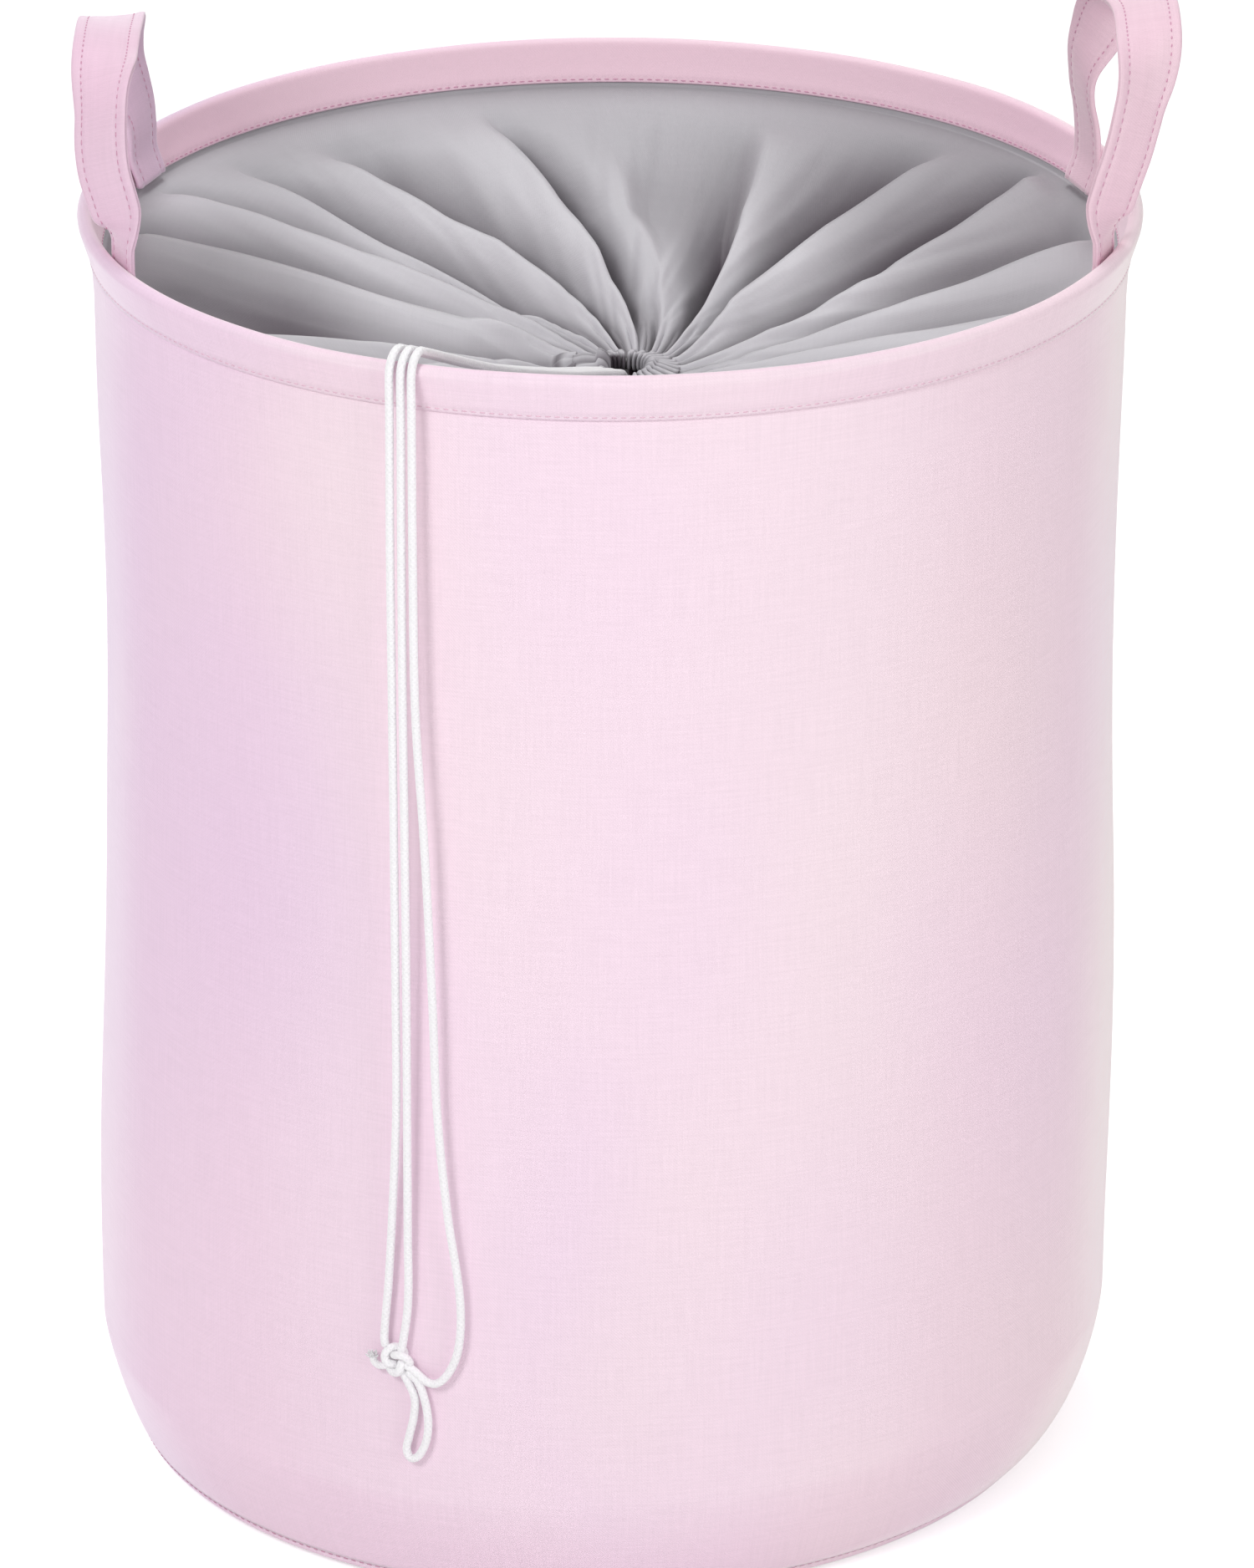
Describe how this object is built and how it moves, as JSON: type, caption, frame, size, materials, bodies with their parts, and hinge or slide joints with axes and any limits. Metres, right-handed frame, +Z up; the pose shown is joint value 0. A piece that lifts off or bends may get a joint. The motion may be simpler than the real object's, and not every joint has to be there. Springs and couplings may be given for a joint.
{
  "type": "laundry hamper",
  "caption": "Round pop-up laundry hamper of pale pink coated cloth with a hooped rim, two strap handles and a grey drawstring cover.",
  "frame": {"origin": "middle of the base's underside, on the floor", "axes": "+Z up; -Y to the front, where the cord hangs; the two handles stand at -X (left) and +X (right)"},
  "size_m": [0.4148, 0.403, 0.5778],
  "materials": {
    "pink_cloth": "coated plain weave with faint pastel drifts",
    "hem_pink": "plain weave with two rows of stitching",
    "grey_cloth": "thin smooth cloth with a slight sheen",
    "white_cord": "braided cord",
    "white_tape": "woven binding tape",
    "hoop_steel": "drawn wire"
  },
  "bodies": {
    "base": {"wall_fabric": "pink_cloth", "side_seam_tape": "white_tape", "base_panel": "pink_cloth", "base_seam_binding": "white_tape"},
    "rim": {"rim_hem": "hem_pink", "rim_hoop_wire": "hoop_steel", "left_handle_front_tab": "hem_pink", "left_handle_rear_tab": "hem_pink", "right_handle_front_tab": "hem_pink", "right_handle_rear_tab": "hem_pink", "cover_cloth": "grey_cloth", "cover_channel": "grey_cloth", "channel_cord": "white_cord", "drawstring_left": "white_cord", "drawstring_middle": "white_cord", "drawstring_right": "white_cord", "drawstring_knot": "white_cord", "drawstring_end_loop": "white_cord"},
    "left_handle": {"left_handle_strap": "hem_pink"},
    "right_handle": {"right_handle_strap": "hem_pink"}
  },
  "joints": [
    {"name": "collapse", "type": "slide", "parent": "base", "child": "rim", "axis": [0, 0, -1], "range_m": [0, 0.38], "stiffness_N_per_m": 20, "springref_m": -0.2, "deforming": ["wall_fabric", "side_seam_tape"]},
    {"name": "left_handle_swing", "type": "hinge", "parent": "rim", "child": "left_handle", "pos_m": [-0.1768, 0, 0.5035], "axis": [0, 1, 0], "range_deg": [-60, 90], "stiffness_Nm_per_rad": 0.05},
    {"name": "right_handle_swing", "type": "hinge", "parent": "rim", "child": "right_handle", "pos_m": [0.17965, 0, 0.5035], "axis": [0, -1, 0], "range_deg": [-60, 85], "stiffness_Nm_per_rad": 0.05}
  ]
}
